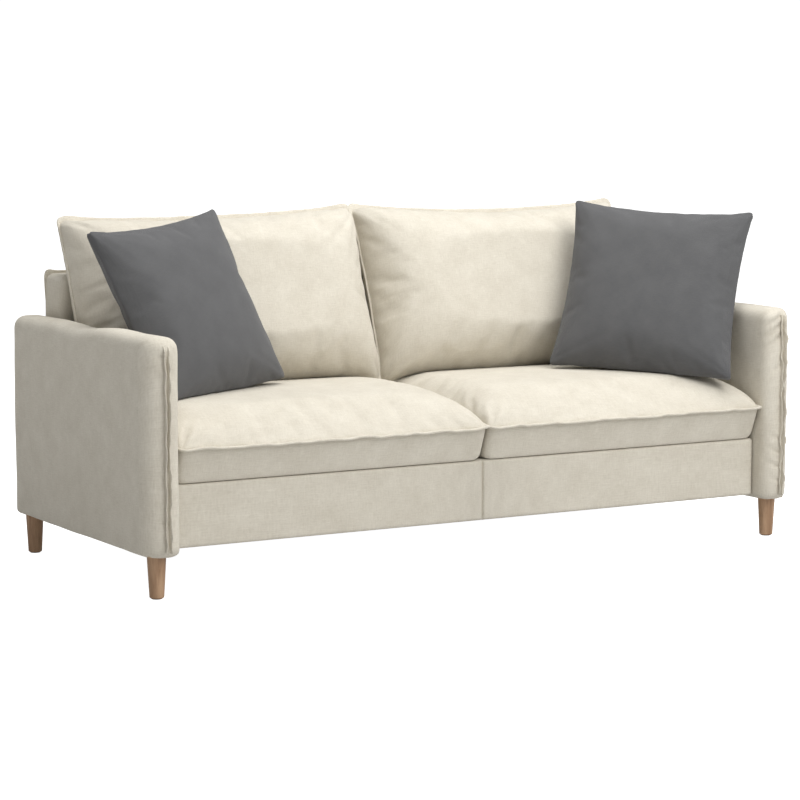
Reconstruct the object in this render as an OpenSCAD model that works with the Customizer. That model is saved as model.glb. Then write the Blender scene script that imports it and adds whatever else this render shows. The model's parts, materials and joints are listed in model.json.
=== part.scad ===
// Two-seat sofa with loose seat and back cushions, two throw pillows and four round wooden legs.
// Frame: origin on the floor under the middle of the sofa, -Y to the front, +X to the right as
// seen from the front, +Z up. Left and right are as seen from the front. Lengths are in millimetres.

/* [Overall] */
// Width over both arms
overall_w = 1780; // [1500:10:2200]
// Depth of the arms, front to back
overall_d = 780; // [700:10:950]
// Height of the arms
arm_h = 580; // [500:5:700]
// Height of the back frame
back_h = 678; // [620:1:820]
// Height of the deck that the seat cushions lie on
deck_h = 250; // [220:5:310]
// Height of the underside of the base
base_bottom = 105; // [100:1:130]

/* [Covers and foam] */
// Thickness of the upholstery cloth
cloth_t = 2; // [1:0.5:3]
// Thickness of the foam on the arms' sides
side_foam_t = 10; // [5:1:15]
// Thickness of the foam on top of the arms and at their ends
edge_foam_t = 22; // [10:1:30]
// Thickness of the foam on the front border
border_foam_t = 12; // [5:1:20]
// Thickness of the foam on the face of the back frame
back_foam_t = 43; // [20:1:50]
// Thickness of the felt on the deck
felt_t = 6; // [3:1:10]

/* [Arms] */
// Thickness of an arm
arm_t = 85; // [70:1:130]
// Radius of an arm's long edges
arm_edge_r = 28; // [10:1:34]
// Radius of an arm's top corners, seen from the side
arm_corner_r = 30; // [10:1:60]

/* [Base and back] */
// How far the front border stands back from the arms' fronts
front_setback = 50; // [20:1:100]
// Thickness of the base's rails
rail_t = 25; // [18:1:32]
// Side of the square corner blocks
block_side = 40; // [30:1:60]
// Depth of the back frame, front to back
back_t = 113; // [95:1:140]
// Radius of the back frame's edges
back_edge_r = 18; // [8:1:30]
// Width of the back frame's posts
post_w = 60; // [40:1:80]
// Number of elastic straps from front to back
strap_count = 9; // [5:1:11]
// Width of an elastic strap
strap_w = 50; // [40:5:70]
// Thickness of an elastic strap
strap_t = 2; // [1.5:0.5:3]

/* [Legs] */
// Height of a leg with its glide
leg_h = 95; // [80:1:100]
// Diameter of a leg at its top
leg_top_d = 43; // [35:1:60]
// Diameter of a leg at its foot
leg_foot_d = 33; // [25:1:45]
// Distance from an arm's front to the front legs' centres
leg_front_inset = 50; // [45:1:90]
// Distance from an arm's back to the back legs' centres
leg_back_inset = 33; // [30:1:90]
// Diameter of the legs' and the frame's bolts
bolt_d = 8; // [6:1:10]

/* [Seat cushions] */
// Depth of a seat cushion
seat_d = 620; // [560:5:680]
// How far the seat cushions stand proud of the front border
seat_overhang = 30; // [0:1:60]
// Height of a seat cushion's side panels
seat_edge_h = 78; // [60:1:100]
// Height of a seat cushion in its middle
seat_crown_h = 172; // [130:1:190]
// How far a seat cushion's crown falls towards its ends
seat_fall_x = 24; // [10:1:40]
// How far a seat cushion's crown falls towards its front and rear
seat_fall_y = 60; // [30:1:80]
// Radius of a seat cushion's upright corners
seat_corner_r = 35; // [15:1:60]

/* [Back cushions] */
// Height of a back cushion along its lean
cushion_h = 446; // [400:1:500]
// Thickness of a back cushion at its edge
cushion_edge_t = 60; // [50:1:90]
// Thickness of a back cushion in its middle
cushion_crown_t = 150; // [120:1:190]
// How far a back cushion's crown falls towards its edges
cushion_fall = 40; // [20:1:60]
// Radius of a back cushion's corners
cushion_corner_r = 35; // [15:1:60]
// Lean of the back cushions
cushion_lean = 20; // [12:0.5:26]

/* [Throw pillows] */
// Side of the left throw pillow
pillow_left_side = 439; // [400:1:450]
// Side of the right throw pillow
pillow_right_side = 457; // [400:1:470]
// Thickness of a throw pillow in its middle
pillow_t = 134; // [90:1:140]
// Thickness of a throw pillow at its seam
pillow_seam_t = 12; // [8:1:20]
// How far a throw pillow's sides pull in between its corners
pillow_pull = 12; // [4:1:20]

/* [Hidden] */
$fn = 48;
crown_fn = 360; // the large circles of crowned faces
crown_step = 2; // how much more a pad's crown rises seen from its long side
headroom = 10; // that a shape is drawn past the crown that cuts it
lap = 2; // that a crown's outline passes the sides that cut it
gap = 2; // between soft neighbours, and round the base and the back
running = 0.3; // between a zip's slider and its teeth
drill = 0.1; // round a bolt in its thread
clear_drill = 0.5; // round a bolt that passes through

half_w = overall_w / 2;
half_d = overall_d / 2;
inner_x = half_w - arm_t; // an arm's inner face
base_x = inner_x - gap / 2; // the base's and the back's ends
border_y = -half_d + front_setback; // the front border's face
back_y = half_d - back_t; // the back frame's face

// Arm frame, in the hollow of its foam
arm_x0 = inner_x + cloth_t + side_foam_t;
arm_x1 = half_w - cloth_t - side_foam_t;
arm_y0 = -half_d + cloth_t + edge_foam_t;
arm_y1 = half_d - cloth_t - side_foam_t;
arm_z0 = leg_h + cloth_t;
arm_z1 = arm_h - cloth_t - edge_foam_t;
arm_panel_t = 3;
arm_rail_h = 25;
arm_front_post_d = 96;
arm_back_post_d = 60;

// Base frame
front_rail_y = border_y + cloth_t + border_foam_t;
rear_rail_y = half_d - cloth_t - rail_t;
side_rail_x = base_x - rail_t;
rail_z0 = base_bottom + cloth_t;
deck_cloth_z = deck_h - cloth_t;
strap_z = deck_cloth_z - felt_t - 2 * strap_t; // the rails' top face
bearer_h = 80;
block_z = rail_z0 + 12;
block_h = strap_z - block_z - 19;

// Back frame, in the hollow of its foam
back_z0 = deck_h + cloth_t;
back_z1 = back_h - cloth_t - back_edge_r;
back_end_foam_t = back_edge_r;
back_end_x = base_x - cloth_t - back_end_foam_t;
back_strap_y = back_y + cloth_t + back_foam_t;
back_post_y = back_strap_y + strap_t;
back_panel_t = 3;
back_panel_y = half_d - cloth_t - back_panel_t;
back_rail_h = 25;

// Legs and fasteners
leg_x = (inner_x + half_w) / 2;
leg_front_y = -half_d + leg_front_inset;
leg_back_y = half_d - leg_back_inset;
glide_t = 2;
glide_d = 24;
glide_pin_d = 3;
glide_pin_h = 10;
leg_chamfer = 2;
leg_bolt_in_leg = 40;
leg_bolt_h = leg_bolt_in_leg + cloth_t + arm_rail_h - 2;
nut_flange_d = 22;
nut_flange_t = 1.5;
nut_barrel_d = bolt_d + 3;
nut_barrel_h = 12;
head_d = bolt_d * 1.6;
head_h = bolt_d * 0.6;
washer_d = bolt_d * 2;
washer_t = 1.5;
insert_d = bolt_d + 4;
insert_l = 30;
base_bolt_x = side_rail_x - block_side;
base_bolt_front_y = front_rail_y + rail_t + block_side / 2;
base_bolt_back_y = arm_y1 - arm_back_post_d / 2;
base_bolt_z = block_z + block_h / 2;
back_bolt_x = back_end_x - post_w;
back_bolt_y = arm_y1 - arm_back_post_d / 2;
back_bolt_z = [deck_h + 80, arm_z1 - arm_rail_h - 30];

// Seat cushions
seat_w = inner_x - 2 * gap;
seat_x = inner_x / 2; // a seat cushion's middle
seat_y0 = border_y - seat_overhang;
seat_mid_y = seat_y0 + seat_d / 2;
seat_shoulder = seat_crown_h - seat_edge_h;
seat_long_r = arc_r(seat_d, seat_fall_y); // of the crown, seen from the side

// Back cushions: "up" runs along the lean and "out" is square to the cushion, towards the front
cushion_w = seat_w;
cushion_shoulder = cushion_crown_t - cushion_edge_t;
seat_arc_z = deck_h + seat_crown_h - seat_long_r;
cushion_up0 = seat_mid_y * sin(cushion_lean) + seat_arc_z * cos(cushion_lean) + seat_long_r + gap;
cushion_out0 = -back_y * cos(cushion_lean) + back_h * sin(cushion_lean) + gap;

// Throw pillows: the middle, then the turn about Z, the lean and the roll
pillow_left_z = deck_h + seat_crown_h + 193;
pillow_left_at = [-inner_x + 197, cushion_face_y(pillow_left_z) - pillow_t / 2 - 38.3, pillow_left_z];
pillow_left_turn = [21.4, 25.2, -5.6];
pillow_right_z = deck_h + seat_crown_h + 200;
pillow_right_at = [inner_x - 165, cushion_face_y(pillow_right_z) - pillow_t / 2 - 152.9, pillow_right_z];
pillow_right_turn = [-43.1, 28.6, 3.9];

// Zips
zip_l = 600;
tape_h = 30;
tape_t = 1;
teeth_h = 6;
teeth_t = 2;
slider_l = 12;
slider_h = 12;
slider_t = 1.4;
tab_l = 24;
tab_w = 8;
zip_rise = 60; // of a back cushion's zip above its bottom edge

// ---- Shared shapes ----

// Where the back cushions' faces stand at a height
function cushion_face_y(z) =
    z * tan(cushion_lean) - (cushion_out0 + cushion_crown_t) / cos(cushion_lean);

// Radius of an arc that rises by "rise" over a chord
function arc_r(chord, rise) = (chord * chord / 4 + rise * rise) / (2 * rise);

// A box between two values on each axis
module block(x, y, z) {
    translate([x[0], y[0], z[0]])
        cube([x[1] - x[0], y[1] - y[0], z[1] - z[0]]);
}

// A shape and its mirror image at -X
module both_sides() {
    children();
    mirror([1, 0, 0])
        children();
}

// A rectangle with round corners, its lowest corner at the origin
module round_rect(w, h, r) {
    translate([r, 0])
        square([w - 2 * r, h]);
    translate([0, r])
        square([w, h - 2 * r]);
    for (x = [r, w - r], y = [r, h - r])
        translate([x, y])
            circle(r);
}

// An outline with round upper corners, h high
module arch(w, h, r) {
    translate([0, -r])
        round_rect(w, h + r, r);
}

// A slab with round edges along Y and Z, round upper corners seen along X and a square foot
module slab(x, y, z, edge_r, corner_r, inset = 0) {
    w = x[1] - x[0] - 2 * inset;
    d = y[1] - y[0] - 2 * inset;
    h = z[1] - z[0] - 2 * inset;
    e = edge_r - inset;
    translate([x[0] + inset, y[0] + inset, z[0] + inset])
        intersection() {
            linear_extrude(h)
                round_rect(w, d, e);
            translate([0, d, 0])
                rotate([90, 0, 0])
                    linear_extrude(d)
                        arch(w, h, e);
            rotate([90, 0, 90])
                linear_extrude(w)
                    arch(d, h, corner_r - inset);
        }
}

// Outline of a crowned pad seen from one end: flat below, and a slight arc above that falls by
// "fall" at its ends, with round shoulders
module crowned_profile(l, crown, fall, shoulder, inset) {
    r = arc_r(l, fall);
    intersection() {
        translate([-l / 2 - lap + inset, inset])
            arch(l + 2 * lap - 2 * inset, crown - 2 * inset, shoulder - inset);
        translate([-l, inset])
            square([2 * l, crown + headroom]);
        translate([0, crown - crown_step - r])
            circle(r - inset, $fn = crown_fn);
    }
}

// A crowned pad: w along X, d along Y, flat below and crowned above
module crowned_pad(w, d, crown, falls, shoulders, r, inset = 0) {
    intersection() {
        translate([-w / 2 + inset, -d / 2 + inset, 0])
            linear_extrude(crown + headroom)
                round_rect(w - 2 * inset, d - 2 * inset, r - inset);
        translate([0, d, 0])
            rotate([90, 0, 0])
                linear_extrude(2 * d)
                    crowned_profile(w, crown + crown_step, falls[0], shoulders[0], inset);
        translate([-w, 0, 0])
            rotate([90, 0, 90])
                linear_extrude(2 * w)
                    crowned_profile(d, crown, falls[1], shoulders[1], inset);
    }
}

// Outline of a throw pillow seen from one edge
module lens_profile(l, inset) {
    r = arc_r(l, (pillow_t - pillow_seam_t) / 2);
    intersection() {
        square([l - 2 * inset, pillow_t + headroom], center = true);
        translate([0, pillow_t / 2 - r])
            circle(r - inset, $fn = crown_fn);
        translate([0, r - pillow_t / 2])
            circle(r - inset, $fn = crown_fn);
    }
}

// Outline of a throw pillow seen from the front
module pulled_square(side, inset) {
    r = arc_r(side, pillow_pull);
    difference() {
        square(side - 2 * inset, center = true);
        for (a = [0 : 90 : 270])
            rotate(a)
                translate([side / 2 + r - pillow_pull, 0])
                    circle(r + inset, $fn = crown_fn);
    }
}

// A throw pillow standing in the XZ plane about the origin
module pillow_form(side, inset = 0) {
    intersection() {
        rotate([90, 0, 0])
            linear_extrude(pillow_t + headroom, center = true)
                pulled_square(side, inset);
        linear_extrude(side, center = true)
            lens_profile(side, inset);
        rotate([0, 90, 0])
            linear_extrude(side, center = true)
                lens_profile(side, inset);
    }
}

// Where the bolts that hold the arms run, as cylinders along X at the +X side
module bolt_lines(d, x0, x1) {
    for (p = [
        [base_bolt_front_y, base_bolt_z], [base_bolt_back_y, base_bolt_z],
        [back_bolt_y, back_bolt_z[0]], [back_bolt_y, back_bolt_z[1]]
    ])
        translate([x0, p[0], p[1]])
            rotate([0, 90, 0])
                cylinder(d = d, h = x1 - x0);
}

module bolt_clearance() {
    bolt_lines(bolt_d + 2 * clear_drill, 0, arm_x1 - arm_panel_t - 2);
}

// Moves its children to each leg of the +X arm
module at_legs() {
    for (y = [leg_front_y, leg_back_y])
        translate([leg_x, y, 0])
            children();
}

// ---- Base ----

module front_rail() {
    color("burlywood")
        block([-side_rail_x, side_rail_x], [front_rail_y, front_rail_y + rail_t], [rail_z0, strap_z]);
}

module rear_rail() {
    color("burlywood")
        block([-side_rail_x, side_rail_x], [rear_rail_y, rear_rail_y + rail_t], [rail_z0, strap_z]);
}

module side_rail_right() {
    color("burlywood")
        difference() {
            block([side_rail_x, base_x], [front_rail_y, rear_rail_y + rail_t], [rail_z0, strap_z]);
            bolt_clearance();
        }
}

module side_rail_left() {
    mirror([1, 0, 0])
        side_rail_right();
}

// Runs low enough for the straps to sag above it
module centre_bearer() {
    color("burlywood")
        block([-rail_t / 2, rail_t / 2], [front_rail_y + rail_t, rear_rail_y],
            [rail_z0, rail_z0 + bearer_h]);
}

module corner_blocks() {
    color("tan")
        both_sides()
            difference() {
                for (y = [front_rail_y + rail_t, rear_rail_y - block_side])
                    block([base_bolt_x, side_rail_x], [y, y + block_side],
                        [block_z, block_z + block_h]);
                bolt_clearance();
            }
}

module seat_straps() {
    pitch = 2 * side_rail_x / strap_count;
    color("dimgray")
        for (i = [0 : strap_count - 1])
            translate([-side_rail_x + (i + 0.5) * pitch - strap_w / 2, front_rail_y, strap_z])
                cube([strap_w, rear_rail_y + rail_t - front_rail_y, strap_t]);
}

module cross_straps() {
    span = rear_rail_y - front_rail_y;
    color("dimgray")
        for (share = [1 / 3, 2 / 3])
            translate([-base_x, front_rail_y + share * span - strap_w / 2, strap_z + strap_t])
                cube([2 * base_x, strap_w, strap_t]);
}

module deck_felt() {
    color("lightgray")
        block([-base_x, base_x], [front_rail_y, half_d - cloth_t],
            [deck_cloth_z - felt_t, deck_cloth_z]);
}

module deck_cloth() {
    color("beige")
        block([-base_x, base_x], [front_rail_y + rail_t, half_d - cloth_t], [deck_cloth_z, deck_h]);
}

module front_border_foam() {
    color("khaki")
        block([-base_x, base_x], [border_y + cloth_t, front_rail_y], [rail_z0, deck_cloth_z]);
}

// Cloth over the front border, turned back over the top of the front rail
module front_border_cover() {
    color("antiquewhite") {
        block([-base_x, base_x], [border_y, border_y + cloth_t], [base_bottom, deck_h]);
        block([-base_x, base_x], [border_y, front_rail_y + rail_t], [deck_cloth_z, deck_h]);
    }
}

module rear_border_cover() {
    color("antiquewhite")
        block([-base_x, base_x], [half_d - cloth_t, half_d], [base_bottom, deck_h]);
}

module dust_cover() {
    color("black")
        block([-base_x, base_x], [border_y + cloth_t, half_d - cloth_t], [base_bottom, rail_z0]);
}

// ---- Arms ----

module arm_slab(inset) {
    slab([inner_x, half_w], [-half_d, half_d], [leg_h, arm_h], arm_edge_r, arm_corner_r, inset);
}

module arm_posts_right() {
    color("burlywood")
        difference() {
            for (y = [[arm_y0, arm_y0 + arm_front_post_d], [arm_y1 - arm_back_post_d, arm_y1]])
                block([arm_x0 + arm_panel_t, arm_x1 - arm_panel_t], y,
                    [arm_z0 + arm_rail_h, arm_z1 - arm_rail_h]);
            bolt_lines(insert_d, arm_x0, arm_x0 + arm_panel_t + insert_l);
            bolt_clearance();
        }
}

module arm_posts_left() {
    mirror([1, 0, 0])
        arm_posts_right();
}

module arm_rails_right() {
    color("burlywood")
        difference() {
            for (z = [arm_z0, arm_z1 - arm_rail_h])
                block([arm_x0 + arm_panel_t, arm_x1 - arm_panel_t], [arm_y0, arm_y1],
                    [z, z + arm_rail_h]);
            at_legs() {
                cylinder(d = nut_barrel_d + 2 * drill, h = arm_z0 + arm_rail_h + 1);
                translate([0, 0, arm_z0 + arm_rail_h - nut_flange_t])
                    cylinder(d = nut_flange_d + 2 * drill, h = nut_flange_t + 1);
            }
        }
}

module arm_rails_left() {
    mirror([1, 0, 0])
        arm_rails_right();
}

module arm_panels_right() {
    color("tan")
        difference() {
            for (x = [arm_x0, arm_x1 - arm_panel_t])
                block([x, x + arm_panel_t], [arm_y0, arm_y1], [arm_z0, arm_z1]);
            bolt_clearance();
        }
}

module arm_panels_left() {
    mirror([1, 0, 0])
        arm_panels_right();
}

module arm_foam_right() {
    color("khaki")
        difference() {
            arm_slab(cloth_t);
            block([arm_x0, arm_x1], [arm_y0, arm_y1], [leg_h, arm_z1]);
            bolt_clearance();
        }
}

module arm_foam_left() {
    mirror([1, 0, 0])
        arm_foam_right();
}

module arm_cover_right() {
    color("antiquewhite")
        difference() {
            arm_slab(0);
            arm_slab(cloth_t);
            bolt_clearance();
            at_legs()
                cylinder(d = bolt_d + 2 * clear_drill, h = arm_z0 + 1);
        }
}

module arm_cover_left() {
    mirror([1, 0, 0])
        arm_cover_right();
}

// ---- Back frame ----

module back_slab(inset) {
    slab([-base_x, base_x], [back_y, half_d], [deck_h, back_h], back_edge_r, back_edge_r, inset);
}

module back_posts() {
    z = [back_z0 + back_rail_h, back_z1 - back_rail_h];
    color("burlywood") {
        block([-post_w / 2, post_w / 2], [back_post_y, back_panel_y], z);
        both_sides()
            difference() {
                block([back_bolt_x, back_end_x], [back_post_y, back_panel_y], z);
                bolt_clearance();
            }
    }
}

module back_rails() {
    color("burlywood")
        for (z = [back_z0, back_z1 - back_rail_h])
            block([-back_end_x, back_end_x], [back_post_y, back_panel_y], [z, z + back_rail_h]);
}

module back_straps() {
    count = 5;
    edge = 15.6; // from a rail's outer face to the first strap
    pitch = (back_z1 - back_z0 - 2 * edge - strap_w) / (count - 1);
    color("dimgray")
        for (i = [0 : count - 1])
            translate([-back_end_x, back_strap_y, back_z0 + edge + i * pitch])
                cube([2 * back_end_x, strap_t, strap_w]);
}

module back_panel() {
    color("tan")
        block([-back_end_x, back_end_x], [back_panel_y, back_panel_y + back_panel_t],
            [back_z0, back_z1]);
}

module back_foam() {
    color("khaki")
        difference() {
            back_slab(cloth_t);
            block([-back_end_x, back_end_x], [back_strap_y, half_d], [deck_h, back_z1]);
            both_sides()
                bolt_clearance();
        }
}

module back_cover() {
    color("antiquewhite")
        difference() {
            back_slab(0);
            back_slab(cloth_t);
            both_sides()
                bolt_clearance();
        }
}

// ---- Legs and fasteners ----

module leg() {
    color("burlywood")
        difference() {
            union() {
                translate([0, 0, glide_t + leg_chamfer])
                    cylinder(d1 = leg_foot_d, d2 = leg_top_d, h = leg_h - glide_t - leg_chamfer);
                translate([0, 0, glide_t])
                    cylinder(d1 = leg_foot_d - 2 * leg_chamfer, d2 = leg_foot_d, h = leg_chamfer);
            }
            translate([0, 0, leg_h - leg_bolt_in_leg])
                cylinder(d = bolt_d + 2 * drill, h = leg_bolt_in_leg + 1);
            cylinder(d = glide_pin_d + 2 * drill, h = glide_t + glide_pin_h + drill);
        }
}

module leg_front_right() translate([leg_x, leg_front_y, 0]) leg();
module leg_back_right() translate([leg_x, leg_back_y, 0]) leg();
module leg_front_left() translate([-leg_x, leg_front_y, 0]) leg();
module leg_back_left() translate([-leg_x, leg_back_y, 0]) leg();

module leg_bolts() {
    color("silver")
        both_sides()
            at_legs()
                translate([0, 0, leg_h - leg_bolt_in_leg])
                    cylinder(d = bolt_d, h = leg_bolt_h);
}

// T-nuts let into the arms' bottom rails from above
module leg_nuts() {
    top = arm_z0 + arm_rail_h;
    color("silver")
        both_sides()
            at_legs()
                difference() {
                    union() {
                        translate([0, 0, top - nut_barrel_h])
                            cylinder(d = nut_barrel_d, h = nut_barrel_h);
                        translate([0, 0, top - nut_flange_t])
                            cylinder(d = nut_flange_d, h = nut_flange_t);
                    }
                    cylinder(d = bolt_d + 2 * drill, h = arm_h);
                }
}

module leg_glides() {
    color("dimgray")
        both_sides()
            at_legs() {
                cylinder(d = glide_d, h = glide_t);
                cylinder(d = glide_pin_d, h = glide_t + glide_pin_h);
            }
}

// Starts of the arm bolts' shanks: two in the base and two in the back, at each end
function bolt_starts() = [
    [base_bolt_x, base_bolt_front_y, base_bolt_z], [base_bolt_x, base_bolt_back_y, base_bolt_z],
    [back_bolt_x, back_bolt_y, back_bolt_z[0]], [back_bolt_x, back_bolt_y, back_bolt_z[1]]
];

module frame_bolts() {
    tip_x = arm_x0 + arm_panel_t + insert_l;
    color("silver")
        both_sides()
            for (p = bolt_starts())
                translate([p[0] - washer_t, p[1], p[2]])
                    rotate([0, 90, 0]) {
                        cylinder(d = bolt_d, h = tip_x - p[0] + washer_t);
                        translate([0, 0, -head_h])
                            cylinder(d = head_d, h = head_h, $fn = 6);
                    }
}

module frame_washers() {
    color("silver")
        both_sides()
            for (p = bolt_starts())
                translate([p[0] - washer_t, p[1], p[2]])
                    rotate([0, 90, 0])
                        difference() {
                            cylinder(d = washer_d, h = washer_t);
                            translate([0, 0, -1])
                                cylinder(d = bolt_d + 2 * clear_drill, h = washer_t + 2);
                        }
}

// Threaded sleeves in the arms' posts
module frame_inserts() {
    x0 = arm_x0 + arm_panel_t;
    color("goldenrod")
        both_sides()
            difference() {
                bolt_lines(insert_d, x0, x0 + insert_l);
                bolt_lines(bolt_d + 2 * drill, x0 - 1, x0 + insert_l + 1);
            }
}

// ---- Seat cushions ----

module seat_form(inset) {
    translate([seat_x, seat_mid_y, deck_h])
        crowned_pad(seat_w, seat_d, seat_crown_h, [seat_fall_x, seat_fall_y],
            [seat_shoulder, seat_shoulder], seat_corner_r, inset);
}

module seat_cover_right() {
    color("antiquewhite")
        difference() {
            seat_form(0);
            seat_form(cloth_t);
        }
}

module seat_cover_left() {
    mirror([1, 0, 0])
        seat_cover_right();
}

module seat_foam_right() {
    color("khaki")
        seat_form(cloth_t);
}

module seat_foam_left() {
    mirror([1, 0, 0])
        seat_foam_right();
}

// ---- Back cushions ----

// Stands its children on the seat, leaning on the back frame's top edge: X across, Y up the
// cushion and Z out of its face
module on_back() {
    translate([seat_x, 0, 0])
        rotate([90 - cushion_lean, 0, 0])
            translate([0, cushion_up0, cushion_out0])
                children();
}

module back_cushion_form(inset) {
    on_back()
        translate([0, cushion_h / 2, 0])
            crowned_pad(cushion_w, cushion_h, cushion_crown_t, [cushion_fall, cushion_fall],
                [cushion_shoulder, cushion_shoulder], cushion_corner_r, inset);
}

module back_cushion_cover_right() {
    color("antiquewhite")
        difference() {
            back_cushion_form(0);
            back_cushion_form(cloth_t);
        }
}

module back_cushion_cover_left() {
    mirror([1, 0, 0])
        back_cushion_cover_right();
}

module back_cushion_fill_right() {
    color("khaki")
        back_cushion_form(cloth_t);
}

module back_cushion_fill_left() {
    mirror([1, 0, 0])
        back_cushion_fill_right();
}

// ---- Throw pillows ----

module place_pillow(at, turn) {
    translate(at)
        rotate([0, 0, turn[0]])
            rotate([-turn[1], 0, 0])
                rotate([0, turn[2], 0])
                    children();
}

// The left pillow, flattened where it lies on the seat
// What a throw pillow rests on and yields to
module round_a_pillow(inset) {
    seat_form(-gap - inset);
    back_cushion_form(-gap - inset);
    arm_slab(-gap - inset);
}

module left_pillow_form(inset = 0) {
    difference() {
        place_pillow(pillow_left_at, pillow_left_turn)
            pillow_form(pillow_left_side, inset);
        mirror([1, 0, 0])
            round_a_pillow(inset);
    }
}

module right_pillow_form(inset = 0) {
    difference() {
        place_pillow(pillow_right_at, pillow_right_turn)
            pillow_form(pillow_right_side, inset);
        round_a_pillow(inset);
    }
}

module pillow_cover_left() {
    color("gray")
        difference() {
            left_pillow_form();
            left_pillow_form(cloth_t);
        }
}

module pillow_cover_right() {
    color("gray")
        difference() {
            right_pillow_form();
            right_pillow_form(cloth_t);
        }
}

module pillow_fill_left() {
    color("white")
        left_pillow_form(cloth_t);
}

module pillow_fill_right() {
    color("white")
        right_pillow_form(cloth_t);
}

// ---- Zips ----

// A closed zip along X, lying on the XY plane with its teeth upwards
module zip() {
    block([-zip_l / 2, zip_l / 2], [-tape_h / 2, tape_h / 2], [0, tape_t]);
    block([-zip_l / 2, zip_l / 2], [-teeth_h / 2, teeth_h / 2], [tape_t, tape_t + teeth_t]);
}

// The slider at its closed end: a bridge over the teeth, with a tab hanging from it
module slider() {
    wall = (slider_h - teeth_h) / 2 - running;
    top = tape_t + teeth_t + running;
    translate([-zip_l / 2 + 2, 0, 0]) {
        block([0, slider_l], [-slider_h / 2, slider_h / 2], [top, top + slider_t]);
        for (y = [-slider_h / 2, slider_h / 2 - wall])
            block([0, slider_l], [y, y + wall], [tape_t + running, top]);
        block([(slider_l - tab_w) / 2, (slider_l + tab_w) / 2], [-tab_l, slider_h / 2],
            [top + slider_t, top + 2 * slider_t]);
    }
}

// On the rear panel of the right seat cushion
module on_seat_rear() {
    translate([seat_x, seat_y0 + seat_d, deck_h + seat_edge_h / 2])
        rotate([90, 0, 180])
            children();
}

// On the rear face of the right back cushion, above its bottom edge
module on_cushion_rear() {
    on_back()
        translate([0, zip_rise, 0])
            rotate([0, 180, 0])
                children();
}

module seat_zip_right() color("beige") on_seat_rear() zip();
module seat_slider_right() color("silver") on_seat_rear() slider();
module back_zip_right() color("beige") on_cushion_rear() zip();
module back_slider_right() color("silver") on_cushion_rear() slider();
module seat_zip_left() mirror([1, 0, 0]) seat_zip_right();
module seat_slider_left() mirror([1, 0, 0]) seat_slider_right();
module back_zip_left() mirror([1, 0, 0]) back_zip_right();
module back_slider_left() mirror([1, 0, 0]) back_slider_right();

front_rail();
rear_rail();
side_rail_left();
side_rail_right();
centre_bearer();
corner_blocks();
seat_straps();
cross_straps();
deck_felt();
deck_cloth();
front_border_foam();
front_border_cover();
rear_border_cover();
dust_cover();
arm_posts_left();
arm_posts_right();
arm_rails_left();
arm_rails_right();
arm_panels_left();
arm_panels_right();
arm_foam_left();
arm_foam_right();
arm_cover_left();
arm_cover_right();
back_posts();
back_rails();
back_straps();
back_panel();
back_foam();
back_cover();
leg_front_left();
leg_front_right();
leg_back_left();
leg_back_right();
leg_bolts();
leg_nuts();
leg_glides();
frame_bolts();
frame_washers();
frame_inserts();
seat_cover_left();
seat_cover_right();
seat_foam_left();
seat_foam_right();
seat_zip_left();
seat_zip_right();
seat_slider_left();
seat_slider_right();
back_cushion_cover_left();
back_cushion_cover_right();
back_cushion_fill_left();
back_cushion_fill_right();
back_zip_left();
back_zip_right();
back_slider_left();
back_slider_right();
pillow_cover_left();
pillow_cover_right();
pillow_fill_left();
pillow_fill_right();
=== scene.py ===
import json
import math

import bmesh
import bpy
import numpy as np
from mathutils import Matrix, Vector, noise
from mathutils.bvhtree import BVHTree


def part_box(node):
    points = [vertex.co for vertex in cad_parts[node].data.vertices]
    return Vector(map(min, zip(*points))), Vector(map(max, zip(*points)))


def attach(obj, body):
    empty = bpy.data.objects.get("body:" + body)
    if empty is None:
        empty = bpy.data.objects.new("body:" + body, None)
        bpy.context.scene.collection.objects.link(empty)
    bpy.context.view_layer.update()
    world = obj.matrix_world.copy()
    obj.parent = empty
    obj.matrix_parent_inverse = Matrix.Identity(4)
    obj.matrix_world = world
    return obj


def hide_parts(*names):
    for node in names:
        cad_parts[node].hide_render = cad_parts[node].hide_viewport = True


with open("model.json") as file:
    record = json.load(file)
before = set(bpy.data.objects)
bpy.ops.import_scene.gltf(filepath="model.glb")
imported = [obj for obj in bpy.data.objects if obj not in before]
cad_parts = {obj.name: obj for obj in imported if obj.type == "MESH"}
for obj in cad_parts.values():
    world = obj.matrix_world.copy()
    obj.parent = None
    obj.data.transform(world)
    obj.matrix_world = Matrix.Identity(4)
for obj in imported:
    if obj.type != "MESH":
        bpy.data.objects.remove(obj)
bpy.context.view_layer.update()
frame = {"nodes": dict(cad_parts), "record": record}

# A two-seat sofa in cream linen with loose cushions, two grey throw pillows and round oak legs.
# Metres, in the CAD model's frame: -Y is the front, +Z is up, left and right are as seen from the front.

MM = 0.001
SIDES = (("left", -1), ("right", 1))


# ---- Camera, floor and light ----

CAMERA_AT = (-3.206, -5.422, 1.069)
CAMERA_YAW = math.radians(30.38)
CAMERA_PITCH = math.radians(-6.43)
CAMERA_LENS = 115.66
CAMERA_SENSOR = 36
CAMERA_REACH = 60

camera_data = bpy.data.cameras.new("camera")
camera_data.lens = CAMERA_LENS
camera_data.sensor_width = CAMERA_SENSOR
camera_data.clip_end = CAMERA_REACH
camera = bpy.data.objects.new("camera", camera_data)
camera.location = CAMERA_AT
camera.rotation_euler = (math.pi / 2 + CAMERA_PITCH, 0, -CAMERA_YAW)
bpy.context.scene.collection.objects.link(camera)
bpy.context.scene.camera = camera
bpy.context.scene.view_settings.view_transform = "Standard"


def soft_light(name, at, target, size, power):
    """A square white lamp that faces a target"""
    data = bpy.data.lights.new(name, "AREA")
    data.shape = "SQUARE"
    data.size = size
    data.energy = power
    lamp = bpy.data.objects.new(name, data)
    lamp.location = at
    lamp.rotation_euler = (Vector(target) - Vector(at)).to_track_quat("-Z", "Y").to_euler()
    bpy.context.scene.collection.objects.link(lamp)


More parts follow.
